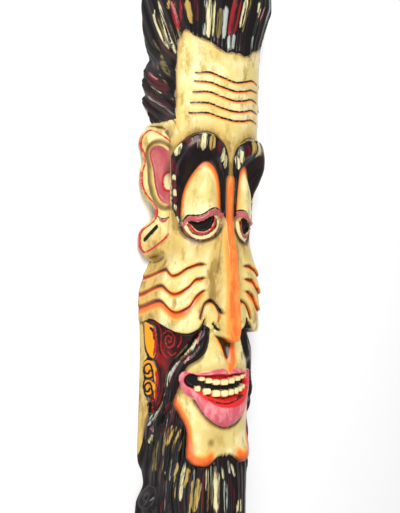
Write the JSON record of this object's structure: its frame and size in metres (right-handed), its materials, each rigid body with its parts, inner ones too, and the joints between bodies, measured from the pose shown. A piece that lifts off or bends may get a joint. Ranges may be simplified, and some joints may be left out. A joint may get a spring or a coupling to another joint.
{
  "type": "wooden mask",
  "caption": "Long narrow carved and painted wooden folk mask: tall hair, wavy forehead lines, drooping eyelids, big ears, long nose, folded cheeks, open mouth and a beard, hollow behind.",
  "frame": {"origin": "bottom centre of the box: on the plane of the flat back, in the middle of the length and width", "axes": "+X across the face, +Y towards the top of the hair, +Z out of the face; the mask lies on its back"},
  "size_m": [0.1944, 1, 0.1064],
  "materials": {
    "painted_wood": "hand-painted in cream, black, orange, red, pink and ochre, aged with brown wash and varnished glossy; bare brown wood inside the hollow"
  },
  "bodies": {
    "root": {"mask": "painted_wood"}
  },
  "joints": []
}
